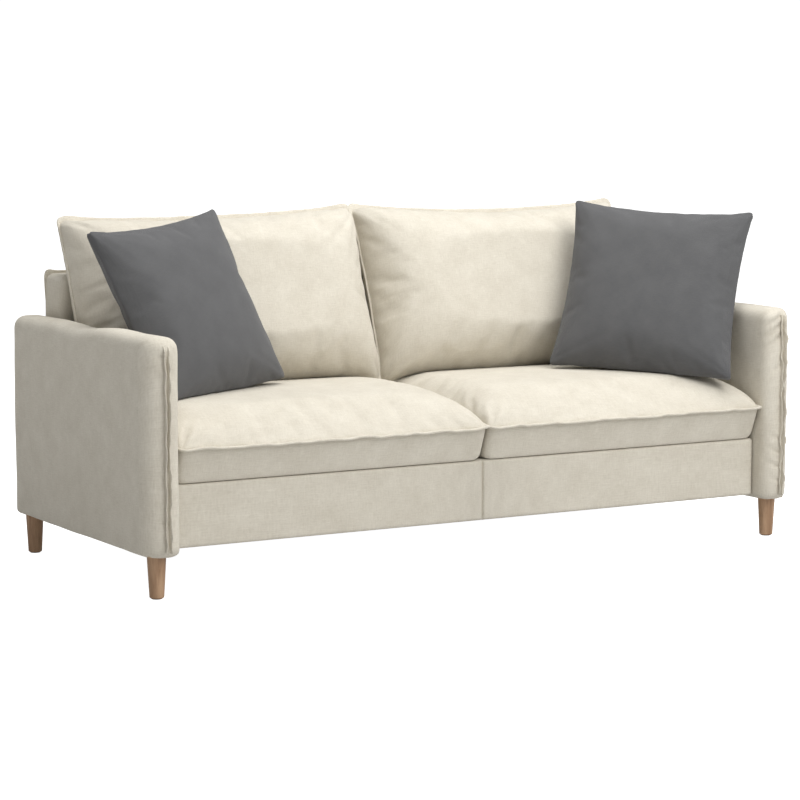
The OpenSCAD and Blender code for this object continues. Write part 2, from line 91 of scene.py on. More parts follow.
soft_light("key", at=(0.95, -3.4, 3.3), target=(0, 0, 0.35), size=2.8, power=116)
soft_light("top", at=(0.2, -0.3, 3.7), target=(0, 0, 0.3), size=3.0, power=104)


# ---- Shader expressions ----

class Wire:
    """A node's output socket that takes part in sums. Wire(tree) alone only adds nodes."""

    def __init__(self, tree, socket=None):
        self.tree = tree
        self.socket = socket

    def node(self, kind, settings=None, sockets=None, out=0):
        """Adds a node: its settings first, then the values or links of its sockets"""
        made = self.tree.nodes.new(kind)
        for name, value in (settings or {}).items():
            if name == "stops":
                ramp = made.color_ramp
                while len(ramp.elements) < len(value):
                    ramp.elements.new(1)
                for element, (position, colour) in zip(ramp.elements, value):
                    element.position = position
                    element.color = colour
            else:
                setattr(made, name, value)
        for name, value in (sockets or {}).items():
            if isinstance(value, Wire):
                self.tree.links.new(value.socket, made.inputs[name])
            else:
                made.inputs[name].default_value = value
        return Wire(self.tree, made.outputs[out] if made.outputs else None)

    def math(self, operation, *values, clamp=False):
        settings = {"operation": operation, "use_clamp": clamp}
        return self.node("ShaderNodeMath", settings, dict(enumerate(values)))

    def __add__(self, other):
        return self.math("ADD", self, other)

    def __radd__(self, other):
        return self.math("ADD", other, self)

    def __sub__(self, other):
        return self.math("SUBTRACT", self, other)

    def __rsub__(self, other):
        return self.math("SUBTRACT", other, self)

    def __mul__(self, other):
        return self.math("MULTIPLY", self, other)

    def __rmul__(self, other):
        return self.math("MULTIPLY", other, self)

    def between(self, low, high):
        """0 below low and 1 above high"""
        span = {"From Min": low, "From Max": high}
        return self.node("ShaderNodeMapRange", None, {"Value": self, **span})

    def tint(self, dark, light):
        """A colour between two, by this value"""
        settings = {"data_type": "RGBA"}
        return self.node("ShaderNodeMix", settings, {0: self, 6: (*dark, 1), 7: (*light, 1)}, 2)

    def stretched(self, scale, turn=(0, 0, 0)):
        return self.node("ShaderNodeMapping", None, {"Vector": self, "Scale": scale, "Rotation": turn})

    def cloud(self, scale, detail=2.0, rough=0.5, warp=0.0):
        """Noise on this place, from 0 to 1"""
        grain = {"Scale": scale, "Detail": detail, "Roughness": rough, "Distortion": warp}
        return self.node("ShaderNodeTexNoise", None, {"Vector": self, **grain})

    def ridges(self, scale, direction, profile="SIN"):
        """Even waves across this place"""
        settings = {"wave_type": "BANDS", "bands_direction": direction, "wave_profile": profile}
        return self.node("ShaderNodeTexWave", settings, {"Vector": self, "Scale": scale}, 1)


def finish(name, recipe, constants):
    """A material. Its recipe takes a Wire and gives the bump's height, the bump's depth in metres and
    the sockets that vary; the other sockets are constants."""
    material = bpy.data.materials.new(name)
    material.use_nodes = True
    tree = material.node_tree
    tree.nodes.clear()
    start = Wire(tree)
    height, depth, sockets = recipe(start)
    if height is not None:
        bump = {"Height": height, "Distance": depth, "Strength": 1.0}
        sockets["Normal"] = start.node("ShaderNodeBump", None, bump)
    shader = start.node("ShaderNodeBsdfPrincipled", None, {**constants, **sockets})
    start.node("ShaderNodeOutputMaterial", None, {"Surface": shader})
    return material


CLOTH_SHEEN = {"Sheen Weight": 0.12, "Sheen Roughness": 0.5, "Specular IOR Level": 0.25}
WAVE_TURN = 2 * math.pi / 20  # the wave texture's own unit: one wave is this long at scale 1
LINEN_PITCH = 1.5 * MM
TWILL_PITCH = 1.1 * MM
WEFT_SLUBS = (38, 420, 420)  # slubs are long along their own thread
WARP_SLUBS = (420, 38, 420)
PORE_FINENESS = 9  # how much finer wood's pores are than its figure


def thread_place(start, mapped):
    """The cloth's own map in metres, or the object's place"""
    if mapped:
        return start.node("ShaderNodeUVMap", {"uv_map": "weave"})
    return start.node("ShaderNodeTexCoord", None, None, 3)


def linen(name, dark, light, mapped=True):
    """Plain linen weave: slubby threads both ways, a faint mottle and a fine bump"""
    def recipe(start):
        at = thread_place(start, mapped)
        slub_weft = at.stretched(WEFT_SLUBS).cloud(1, 3, 0.65)
        slub_warp = at.stretched(WARP_SLUBS).cloud(1, 3, 0.65)
        mottle = at.cloud(13, 4, 0.6)
        fleck = at.cloud(240, 2, 0.6)
        shade = slub_weft * 0.42 + slub_warp * 0.36 + mottle * 0.4 + fleck * 0.24
        colour = shade.between(0.5, 0.92).tint(dark, light)
        weft = at.ridges(WAVE_TURN / LINEN_PITCH, "X")
        warp = at.ridges(WAVE_TURN / LINEN_PITCH, "Y")
        height = weft * warp * 0.4 + slub_weft * 0.7 + slub_warp * 0.6 + fleck * 0.5
        return height, 0.5 * MM, {"Base Color": colour, "Roughness": slub_weft * 0.12 + 0.82}

    return finish(name, recipe, CLOTH_SHEEN)


def smooth_cloth(name, dark, light):
    """Close, smooth pillow cloth with a fine twill"""
    def recipe(start):
        at = thread_place(start, True)
        twill = at.stretched((1, 1, 1), (0, 0, math.radians(45))).ridges(WAVE_TURN / TWILL_PITCH, "X")
        mottle = at.cloud(14, 3, 0.5)
        thread = at.stretched((60, 500, 500)).cloud(1, 2, 0.6)
        colour = (mottle * 0.6 + thread * 0.4).between(0.3, 0.75).tint(dark, light)
        height = twill * 0.4 + thread * 0.6
        return height, 0.35 * MM, {"Base Color": colour, "Roughness": thread * 0.15 + 0.75}

    return finish(name, recipe, CLOTH_SHEEN)


def wood(name, dark, light, grain=(70, 70, 5), gloss=0.5, pores=0.25):
    """Wood with its grain along Z unless the stretch says otherwise"""
    def recipe(start):
        at = start.node("ShaderNodeTexCoord", None, None, 3)
        figure = at.stretched(grain).cloud(1, 4, 0.6, 0.6)
        pore = at.stretched(tuple(g * PORE_FINENESS for g in grain)).cloud(1, 2, 0.55)
        line = pore.between(0.58, 0.72)
        tone = figure.between(0.3, 0.72) - line * pores
        colour = tone.tint(dark, light)
        height = figure * 0.3 - line * 0.7
        return height, 0.25 * MM, {"Base Color": colour, "Roughness": line * 0.2 + gloss}

    return finish(name, recipe, {"Specular IOR Level": 0.4})


def mottled(name, dark, light, scale, rough, bump=0.3, metallic=0.0):
    """One even material with grain of a given scale"""
    def recipe(start):
        at = start.node("ShaderNodeTexCoord", None, None, 3)
        grain = at.cloud(scale, 4, 0.6)
        broad = at.cloud(scale / 12, 2, 0.5)
        colour = (grain * 0.5 + broad * 0.5).between(0.35, 0.65).tint(dark, light)
        return grain, bump * MM, {"Base Color": colour, "Roughness": grain * 0.2 + rough - 0.1}

    return finish(name, recipe, {"Metallic": metallic})


def ribbed(name, dark, light, pitch, direction, rough, metallic=0.0):
    """Close ribs, as of elastic webbing or a zip's teeth"""
    def recipe(start):
        at = start.node("ShaderNodeTexCoord", None, None, 3)
        rib = at.ridges(WAVE_TURN / pitch, direction)
        grain = at.cloud(300, 3, 0.6)
        colour = (rib * 0.6 + grain * 0.4).tint(dark, light)
        height = rib * 0.8 + grain * 0.3
        return height, 0.4 * MM, {"Base Color": colour, "Roughness": grain * 0.2 + rough - 0.1}

    return finish(name, recipe, {"Metallic": metallic})


LINEN_DARK, LINEN_LIGHT = (0.53, 0.485, 0.40), (0.70, 0.66, 0.57)
cream_linen = linen("cream_linen", LINEN_DARK, LINEN_LIGHT)
cream_trim = linen("cream_trim", LINEN_DARK, LINEN_LIGHT, mapped=False)
grey_cloth = smooth_cloth("grey_cloth", (0.084, 0.084, 0.086), (0.113, 0.113, 0.115))
slot_finishes = {
    "cream_cloth": cream_trim,
    "grey_cloth": grey_cloth,
    "leg_wood": wood("leg_oak", (0.29, 0.165, 0.09), (0.54, 0.35, 0.215)),
    "frame_timber": wood("frame_pine", (0.42, 0.27, 0.14), (0.66, 0.49, 0.30), (6, 60, 60), 0.65, 0.15),
    "plywood": wood("panel_ply", (0.40, 0.27, 0.16), (0.60, 0.44, 0.28), (60, 5, 60), 0.6, 0.2),
    "elastic_webbing": ribbed("webbing", (0.02, 0.02, 0.022), (0.07, 0.07, 0.075), 4 * MM,
                              "DIAGONAL", 0.8),
    "felt": mottled("deck_wool", (0.33, 0.32, 0.30), (0.52, 0.50, 0.47), 260, 0.95, 0.6),
    "dust_cloth": mottled("dust_fleece", (0.025, 0.025, 0.027), (0.06, 0.06, 0.063), 420, 0.9, 0.4),
    "foam": mottled("seat_foam", (0.62, 0.55, 0.34), (0.80, 0.73, 0.52), 700, 0.9, 0.6),
    "fibre_fill": mottled("fibre", (0.72, 0.72, 0.70), (0.85, 0.85, 0.83), 90, 0.95, 1.2),
    "zinc_steel": mottled("zinc", (0.42, 0.43, 0.45), (0.62, 0.63, 0.66), 130, 0.38, 0.05, 1.0),
    "insert_brass": mottled("brass", (0.48, 0.34, 0.12), (0.70, 0.53, 0.24), 150, 0.35, 0.05, 1.0),
    "glide_felt": mottled("glide_wool", (0.10, 0.08, 0.065), (0.19, 0.155, 0.13), 600, 0.95, 0.5),
    "zip_tape": ribbed("zip_tape", (0.50, 0.46, 0.39), (0.74, 0.70, 0.62), 2.5 * MM, "X", 0.7),
    "zip_metal": mottled("zip_nickel", (0.34, 0.33, 0.32), (0.60, 0.59, 0.57), 200, 0.32, 0.05, 1.0),
}


# ---- Stage ----

FLOOR_HALF = 50
FLOOR_SQUARES = 8


def floor_recipe(start):
    """A lit floor that shows white to the camera, and gives less light near the sofa than far from it"""
    at = start.node("ShaderNodeTexCoord", None, None, 3)
    colour = at.cloud(3, 2).tint((0.50, 0.50, 0.50), (0.53, 0.53, 0.53))
    away = at.node("ShaderNodeVectorMath", {"operation": "LENGTH"}, {0: at}, 1)
    near = away.between(1.4, 4.5).tint((0.13, 0.13, 0.13), (0.7, 0.7, 0.7))
    seen = start.node("ShaderNodeLightPath")
    glow = start.node("ShaderNodeMix", {"data_type": "RGBA"}, {0: seen, 6: near, 7: (1, 1, 1, 1)}, 2)
    return None, 0, {"Base Color": colour, "Emission Color": glow}


floor_bm = bmesh.new()
bmesh.ops.create_grid(floor_bm, x_segments=FLOOR_SQUARES, y_segments=FLOOR_SQUARES, size=FLOOR_HALF)
floor_mesh = bpy.data.meshes.new("floor")
floor_bm.to_mesh(floor_mesh)
floor_bm.free()
floor = bpy.data.objects.new("floor", floor_mesh)
floor_glow = {"Roughness": 0.9, "Emission Strength": 1.0}
floor_mesh.materials.append(finish("floor_paint", floor_recipe, floor_glow))
bpy.context.scene.collection.objects.link(floor)

world = bpy.data.worlds.new("world")
bpy.context.scene.world = world
world.use_nodes = True
world.node_tree.nodes.clear()
sky = Wire(world.node_tree)
seen = sky.node("ShaderNodeLightPath")
glow = seen * 0.7 + 0.37
backdrop = sky.node("ShaderNodeBackground", None, {"Color": (1, 1, 1, 1), "Strength": glow})
sky.node("ShaderNodeOutputWorld", None, {"Surface": backdrop})


# ---- Cloth shapes ----

def places(mesh):
    """Every vertex's place as one array"""
    at = np.empty(len(mesh.vertices) * 3, np.float32)
    mesh.vertices.foreach_get("co", at)
    return at.reshape(-1, 3).astype(float)


def put(mesh, at):
    """Moves every vertex to its place in the array"""
    mesh.vertices.foreach_set("co", at.astype(np.float32).ravel())
    mesh.update()


def lattice(name, columns, rows, courses, half):
    """A closed box of even quads between -1 and 1, courses stacked along Z, with a weave map in metres
    for a box of that half size. Gives the piece and its vertices' unit places."""
    bm = bmesh.new()
    bmesh.ops.create_grid(bm, x_segments=columns, y_segments=rows, size=1)
    bmesh.ops.translate(bm, verts=bm.verts, vec=(0, 0, -1))
    top = bm.faces[:] + bm.edges[:]
    for course in range(courses):
        top = bmesh.ops.extrude_face_region(bm, geom=top, use_keep_orig=course == 0)["geom"]
        raised = [g for g in top if isinstance(g, bmesh.types.BMVert)]
        bmesh.ops.translate(bm, verts=raised, vec=(0, 0, 2 / courses))
    bmesh.ops.recalc_face_normals(bm, faces=bm.faces)
    weave = bm.loops.layers.uv.new("weave")
    for face in bm.faces:
        face.smooth = True
        across = 1 if abs(face.normal.x) > 0.5 else 0
        along = 1 if abs(face.normal.z) > 0.5 else 2
        for loop in face.loops:
            co = loop.vert.co
            loop[weave].uv = (co[across] * half[across], co[along] * half[along])
    mesh = bpy.data.meshes.new(name)
    bm.to_mesh(mesh)
    bm.free()
    piece = bpy.data.objects.new(name, mesh)
    bpy.context.scene.collection.objects.link(piece)
    return piece, places(mesh)


def course_of(unit, courses):
    """Which course of a lattice each vertex is in, from 0 at the bottom"""
    return np.rint((unit[:, 2] + 1) / 2 * courses).astype(int)


def round_corners(x, y, half_x, half_y, radius):
    """Draws a rectangle's corners in to a radius"""
    s = np.clip((np.abs(x) - (half_x - radius)) / radius, 0, 1)
    t = np.clip((np.abs(y) - (half_y - radius)) / radius, 0, 1)
    corner = (s > 0) & (t > 0)
    round_x = np.sign(x) * (half_x - radius + radius * s * np.sqrt(1 - t * t / 2))
    round_y = np.sign(y) * (half_y - radius + radius * t * np.sqrt(1 - s * s / 2))
    return np.where(corner, round_x, x), np.where(corner, round_y, y)


def crown(x, y, powers):
    """How full a pad is over its plan: 1 in the middle and 0 round its edge"""
    (nx, mx), (ny, my) = powers
    over_x = np.clip(1 - np.abs(x) ** nx, 0, 1) ** (1 / mx)
    over_y = np.clip(1 - np.abs(y) ** ny, 0, 1) ** (1 / my)
    return over_x * over_y


def drift(at, scale, seed):
    """Slow deterministic noise for many points, from -1 to 1"""
    shift = Vector((seed * 7.3, seed * 3.1, seed * 5.7))
    return np.array([noise.noise(Vector(p) * scale + shift) for p in at])


def gauss(x, middle, spread):
    """A bell: 1 at the middle"""
    return np.exp(-(((x - middle) / spread) ** 2))


def crease(x, y, start, end, width):
    """A fold's depth over a plan: a valley from start to end between two low ridges"""
    start, end = np.array(start), np.array(end)
    run = end - start
    length = np.hypot(*run)
    along = ((x - start[0]) * run[0] + (y - start[1]) * run[1]) / length**2
    across = ((x - start[0]) * run[1] - (y - start[1]) * run[0]) / length
    fade = np.clip(1 - along, 0, 1) ** 0.7 * np.clip(along * 5, 0, 1) * (along < 1)
    q = (across / (width * (0.5 + 0.8 * np.clip(along, 0, 1)))) ** 2
    return fade * (1 - 1.1 * q) * np.exp(-q)


def pin(piece, held):
    """Marks the vertices that stay where they are while the cloth swells"""
    group = piece.vertex_groups.new(name="held")
    for weight in np.unique(held):
        if weight > 0:
            group.add([int(i) for i in np.nonzero(held == weight)[0]], float(weight), "REPLACE")


SWELL_FRAMES = 20
PRESS_REACH = 0.5


def starting_share(share):
    """How full a pad is before it swells"""
    return share


def swell(pads, pressure, growth, reach):
    """Blows several pinned pads up together as cloth, with no point moving further than reach"""
    for pad in pads:
        cloth = pad.modifiers.new("cloth", "CLOTH")
        cloth.point_cache.frame_end = SWELL_FRAMES
        fabric = cloth.settings
        fabric.quality = 5
        fabric.mass = 0.3
        fabric.tension_stiffness = fabric.compression_stiffness = 12
        fabric.shear_stiffness = 4
        fabric.bending_stiffness = 0.4
        fabric.use_pressure = True
        fabric.uniform_pressure_force = pressure
        fabric.shrink_min = fabric.shrink_max = -growth
        fabric.vertex_group_mass = "held"
        fabric.effector_weights.gravity = 0
        cloth.collision_settings.use_collision = False
    scene = bpy.context.scene
    for frame_number in range(1, SWELL_FRAMES + 1):
        scene.frame_set(frame_number)
    view = bpy.context.evaluated_depsgraph_get()
    for pad in pads:
        before = places(pad.data)
        moved = places(pad.evaluated_get(view).data) - before
        length = np.linalg.norm(moved, axis=1, keepdims=True)
        pad.modifiers.clear()
        put(pad.data, before + moved * np.minimum(1, reach / np.maximum(length, 1e-9)))
    scene.frame_set(1)


def refine(piece):
    """Applies one subdivision"""
    smooth = piece.modifiers.new("smooth", "SUBSURF")
    smooth.levels = smooth.render_levels = 1
    view = bpy.context.evaluated_depsgraph_get()
    fine = bpy.data.meshes.new_from_object(piece.evaluated_get(view))
    piece.modifiers.clear()
    old, piece.data = piece.data, fine
    name = old.name
    bpy.data.meshes.remove(old)
    fine.name = name
    piece.vertex_groups.clear()


def normals_of(mesh):
    """Every vertex's normal as one array"""
    out = np.empty(len(mesh.vertices) * 3, np.float32)
    mesh.vertex_normals.foreach_get("vector", out)
    return out.reshape(-1, 3).astype(float)


def move(piece, matrix):
    """Takes a piece from its own frame to the sofa's"""
    piece.data.transform(matrix)
    piece.data.update()


def face_outwards(piece):
    """Turns a closed piece's faces outwards"""
    bm = bmesh.new()
    bm.from_mesh(piece.data)
    bmesh.ops.recalc_face_normals(bm, faces=bm.faces)
    bm.to_mesh(piece.data)
    bm.free()


def tree_of(*pieces):
    """A search tree over several pieces' surfaces"""
    verts, polys = [], []
    for piece in pieces:
        base = len(verts)
        verts += [v.co.copy() for v in piece.data.vertices]
        polys += [[base + i for i in p.vertices] for p in piece.data.polygons]
    return BVHTree.FromPolygons(verts, polys)


def press(piece, tree, towards, clear, body=None):
    """Flattens a piece where it would pass into what lies behind it. towards is the way it is pressed,
    and body gives, for each vertex, how much more than clear it stands off."""
    towards = Vector(towards)
    at = places(piece.data)
    extra = np.zeros(len(at)) if body is None else body
    for i, p in enumerate(at):
        start = Vector(p) + towards * PRESS_REACH
        hit = tree.ray_cast(start, -towards, PRESS_REACH * 1.6)[0]
        if hit is None:
            continue
        short = clear + extra[i] - (Vector(p) - hit).dot(towards)
        if short > 0:
            at[i] += np.array(towards * short)
    put(piece.data, at)


def welt(name, base, on_seam, lip, rows, thick, keep=None):
    """A standing lip along a pad's seam: the seam's edges are drawn out row by row. lip gives, for a
    place on the seam and a share of the width, how far the lip's edge stands off."""
    bm = bmesh.new()
    bm.from_mesh(base.data)
    bm.verts.ensure_lookup_table()
    off = [v for v, on in zip(bm.verts, on_seam) if not on]
    bmesh.ops.delete(bm, geom=off, context="VERTS")
    bmesh.ops.delete(bm, geom=bm.faces[:], context="FACES_KEEP_BOUNDARY")
    if keep is not None:
        bmesh.ops.delete(bm, geom=[v for v in bm.verts if not keep(v.co)], context="VERTS")
    roots = {v: v.co.copy() for v in bm.verts}
    edges = bm.edges[:]
    for v, root in roots.items():
        v.co = root + lip(root, 0)
    for row in range(1, rows + 1):
        grown = bmesh.ops.extrude_edge_only(bm, edges=edges)["geom"]
        edges = [g for g in grown if isinstance(g, bmesh.types.BMEdge)]
        edge_verts = [g for g in grown if isinstance(g, bmesh.types.BMVert)]
        nearest = {}
        for v in edge_verts:
            below = [e.other_vert(v) for e in v.link_edges if e.other_vert(v) in roots]
            nearest[v] = roots[below[0]]
        for v, root in nearest.items():
            v.co = root + lip(root, row / rows)
        roots = nearest
        edges = [e for e in edges if all(v in roots for v in e.verts)]
    bmesh.ops.recalc_face_normals(bm, faces=bm.faces)
    for face in bm.faces:
        face.smooth = True
    mesh = bpy.data.meshes.new(name)
    bm.to_mesh(mesh)
    bm.free()
    piece = bpy.data.objects.new(name, mesh)
    bpy.context.scene.collection.objects.link(piece)
    wall = piece.modifiers.new("thickness", "SOLIDIFY")
    wall.thickness = thick
    wall.offset = 0
    smooth = piece.modifiers.new("smooth", "SUBSURF")
    smooth.levels = smooth.render_levels = 1
    return piece


def dress(piece, material, body, slot, *nodes):
    """Gives a finished piece its cloth and its place in the sofa"""
    piece.data.materials.clear()
    piece.data.materials.append(material)
    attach(piece, body)
    if nodes:
        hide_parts(*nodes)


# ---- Arms ----

ARM_EDGE_R = 28 * MM
ARM_FOOT_R = 11 * MM
ARM_CORNER_R = 30 * MM
SLAB_TURNS = 4  # courses in each rounded edge
SLAB_COURSES = 2 * SLAB_TURNS + 2


def upholstered_slab(name, low, high, axes, edge_r, foot_r, corner_r, cells):
    """A slab with soft edges, and the course that each of its vertices is in. axes says which of its
    own axes run across, up and through it."""
    across, up, through = axes
    size = [high[i] - low[i] for i in range(3)]
    half = (size[across] / 2, size[up] / 2, size[through] / 2)
    piece, unit = lattice(name, *cells, SLAB_COURSES, half)
    course = course_of(unit, SLAB_COURSES)
    angle = np.concatenate([np.linspace(0, math.pi / 2, SLAB_TURNS + 1), [math.pi / 2],
                            np.linspace(math.pi / 2, 0, SLAB_TURNS + 1)])
    depth = np.concatenate([edge_r * (1 - np.cos(angle[:SLAB_TURNS + 1])), [size[through] / 2],
                            size[through] - edge_r * (1 - np.cos(angle[SLAB_TURNS + 2:]))])
    inset = edge_r * (1 - np.sin(angle))[course]
    foot = foot_r / edge_r
    x = unit[:, 0] * (half[0] - inset)
    z = unit[:, 1] * (half[1] - inset * (1 + foot) / 2) - inset * (1 - foot) / 2
    upper = z > 0
    mid = -inset * (1 - foot) / 2
    radius = np.maximum(corner_r - inset, 8 * MM)
    rx, rz = round_corners(x, z - mid, half[0] - inset, half[1] - inset * (1 + foot) / 2,
                           np.where(upper, radius, np.maximum(2 * foot_r - inset, 4 * MM)))
    at = np.empty_like(unit)
    at[:, across] = rx + (low[across] + high[across]) / 2
    at[:, up] = rz + mid + (low[up] + high[up]) / 2
    at[:, through] = low[through] + depth[course]
    put(piece.data, at)
    face_outwards(piece)
    return piece, course


ARM_CELLS = (70, 44)
arm_low, arm_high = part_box("arm_cover_right")
ARM_TOP = arm_high.z
ARM_FRONT = arm_low.y
ARM_FOOT = arm_low.z
ARM_OUTER = arm_high.x
LIP_TOP = ARM_TOP - 16 * MM  # where an arm's lip begins
LIP_SHIFT = {"left": 5 * MM, "right": 4 * MM}  # from the middle of an arm's front, towards +X
FRONT_TURN = 50 * MM  # how far back an arm's front curves, outside its lip
FRONT_FADE = 170 * MM  # the curve has died away this far back from the front
NEARLY_ONE = 0.999  # keeps a quarter circle's slope finite
LIP_ROWS = 3
ARM_LIP_THICK = 2.4 * MM
ARM_FOLD_GAIN = 1.8

ARM_FRONT_FOLDS = {  # from, to, width and depth, over an arm's front
    "left": [((-0.842, 0.548), (-0.870, 0.530), 8, 2.5), ((-0.842, 0.50), (-0.868, 0.49), 7, 1.5),
             ((-0.842, 0.17), (-0.866, 0.18), 7, 1.6)],
    "right": [((0.853, 0.566), (0.806, 0.533), 8, 4), ((0.853, 0.548), (0.806, 0.503), 8, 4),
              ((0.853, 0.522), (0.808, 0.474), 8, 3.5), ((0.853, 0.44), (0.815, 0.42), 8, 2),
              ((0.853, 0.25), (0.815, 0.262), 8, 2.2), ((0.853, 0.215), (0.812, 0.232), 8, 2.8),
              ((0.853, 0.18), (0.812, 0.193), 8, 3), ((0.853, 0.145), (0.815, 0.155), 8, 2.6)],
}


def round_front(at, lip_x):
    """Curves an arm's front back from its lip to its outer side"""
    edge = abs(ARM_OUTER - ARM_EDGE_R)
    reach = abs(abs(ARM_OUTER) - abs(lip_x))
    x = np.abs(at[:, 0])
    t = np.clip((x - abs(lip_x)) / reach, 0, 1)
    drawn = FRONT_TURN * (1 - np.sqrt(1 - t * t * NEARLY_ONE))
    was = ARM_EDGE_R - np.sqrt(ARM_EDGE_R**2 - np.clip(x - edge, 0, ARM_EDGE_R) ** 2 * NEARLY_ONE)
    fade = np.clip(1 - (at[:, 1] - ARM_FRONT) / FRONT_FADE, 0, 1)
    at[:, 1] += np.maximum(drawn - was, 0) * fade


def arm_folds(at, side, seam, seed):
    """How far an arm's cloth stands off: a slack top, and puckers along its front lip"""
    x, y, z = at.T
    out = 1.6 * MM * drift(at, 5, seed) + 0.7 * MM * drift(at, 16, seed + 3)
    reach = np.exp(-np.abs(x - seam) / (22 * MM)) * np.exp(-np.clip(y - ARM_FRONT, 0, 1) / (30 * MM))
    ripple = np.array([noise.noise(Vector((seed, p[2] * 46 - p[0] * side * 60, 0.5))) for p in at])
    upper, lower = gauss(z, ARM_TOP - 50 * MM, 60 * MM), gauss(z, 0.15, 70 * MM)
    strength = 2.4 * MM * (0.5 + 1.2 * upper + 0.8 * lower)
    if side > 0:
        strength = strength * 1.5
    out += ripple * strength * reach
    front = np.clip(1 - (y - ARM_FRONT) / (45 * MM), 0, 1)
    for start, end, width, depth in ARM_FRONT_FOLDS["left" if side < 0 else "right"]:
        out -= crease(x, z, start, end, width * MM) * depth * ARM_FOLD_GAIN * MM * front
    return out


def make_arm(label, side):
    low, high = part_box(f"arm_cover_{label}")
    piece, course = upholstered_slab(f"arm_{label}", low, high, (1, 2, 0), ARM_EDGE_R, ARM_FOOT_R,
                                     ARM_CORNER_R, ARM_CELLS)
    lip_x = (low.x + high.x) / 2 + LIP_SHIFT[label]
    base = piece.data.copy()
    on_seam = course == SLAB_COURSES // 2
    at = places(piece.data)
    round_front(at, lip_x)
    put(piece.data, at)
    refine(piece)
    at = places(piece.data)
    normal = normals_of(piece.data)
    at += normal * arm_folds(at, side, lip_x, 11 if side < 0 else 23)[:, None]
    if side < 0:  # its top sinks in its middle, and stands up a little in front of that
        over = np.clip((at[:, 2] - 0.4) / 0.18, 0, 1)
        sunk = 7 * MM * gauss(at[:, 1], 0.02, 0.085)
        at[:, 2] -= over * (sunk - 2.5 * MM * gauss(at[:, 1], -0.16, 0.07))
    put(piece.data, at)
    dress(piece, cream_linen, "sofa_frame", "cream_cloth", f"arm_cover_{label}", f"arm_foam_{label}")
    carrier = bpy.data.objects.new("carrier", base)
    for layer, shift in (("inner", -1), ("outer", 1)):
        make_arm_lip(label, layer, carrier, on_seam, shift)
    bpy.data.objects.remove(carrier)
    bpy.data.meshes.remove(base)


def make_arm_lip(label, layer, carrier, on_seam, shift):
    """One of the two layers of cloth that stand out along an arm's front seam"""
    seed = 5 * shift + (2 if label == "left" else 9)
    lively = 1.2 if label == "left" else 1.9

    def lip(root, share):
        wave = noise.noise(Vector((seed, root.z * 38, 0.3)))
        fine = noise.noise(Vector((seed + 4, root.z * 110, 0.7)))
        ends = min(1, max(0, (LIP_TOP - root.z) / (30 * MM)) ** 0.5)
        width = (9.5 + (2.6 * wave + 3.2 * fine) * lively) * MM * ends
        lean = shift * (2.4 + 3.0 * share) * MM + (2.6 * wave + 2.4 * fine) * lively * MM * share
        out = 4 * MM - share * (width + 4 * MM)
        low_end = max(0, 1 - (root.z - ARM_FOOT) / (22 * MM))
        return Vector((lean + LIP_SHIFT[label], out, -12 * MM * share * low_end))

    def keep(co):
        return co.y < ARM_FRONT + 4 * MM and co.z < LIP_TOP

    piece = welt(f"arm_lip_{layer}_{label}", carrier, on_seam, lip, LIP_ROWS, ARM_LIP_THICK, keep)
    dress(piece, cream_trim, "sofa_frame", "cream_cloth")


# ---- Back frame and base ----

BACK_EDGE_R = 18 * MM
BACK_FOOT_R = 6 * MM
BACK_CORNER_R = 20 * MM
FRAME_CELLS = (150, 40)
FRAME_LIP_THICK = 3.2 * MM
BORDER_EDGE = 2.5 * MM
BORDER_GROOVE_W = 2.6 * MM
BORDER_COURSES = 4
WRAP_STAND_OFF = 0.8 * MM


def make_back():
    low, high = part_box("back_cover")
    piece, course = upholstered_slab("back_frame", low, high, (0, 2, 1), BACK_EDGE_R, BACK_FOOT_R,
                                     BACK_CORNER_R, FRAME_CELLS)

    def lip(root, share):
        wave = noise.noise(Vector((root.x * 22, 6.1, root.z * 22)))
        top = min(1, max(0, (root.z - (high.z - 20 * MM)) / (16 * MM)))
        low_end = min(1, max(0, (root.z - (ARM_TOP + 20 * MM)) / (50 * MM)))
        end = min(1, max(0, (abs(root.x) - (high.x - 26 * MM)) / (20 * MM)))
        width = (6 + 2 * wave) * MM * low_end
        out = math.copysign(width * end * (0.5 + 0.8 * top) * share, root.x)
        up = width * top * share + 9 * MM * end * top * share
        return Vector((out - math.copysign(3 * MM * end * (1 - share), root.x), 1.5 * MM * wave,
                       up - 3 * MM * top * (1 - share)))

    def above_arms(co):
        return co.z > ARM_TOP + 12 * MM

    rear_seam = course == SLAB_COURSES - SLAB_TURNS
    trim = welt("back_trim", piece, rear_seam, lip, LIP_ROWS, FRAME_LIP_THICK, above_arms)
    dress(trim, cream_trim, "sofa_frame", "cream_cloth")
    refine(piece)
    at = places(piece.data)
    normal = normals_of(piece.data)
    at += normal * (1.6 * MM * drift(at, 4, 41) + 0.7 * MM * drift(at, 15, 44))[:, None]
    put(piece.data, at)
    dress(piece, cream_linen, "sofa_frame", "cream_cloth", "back_cover", "back_foam")


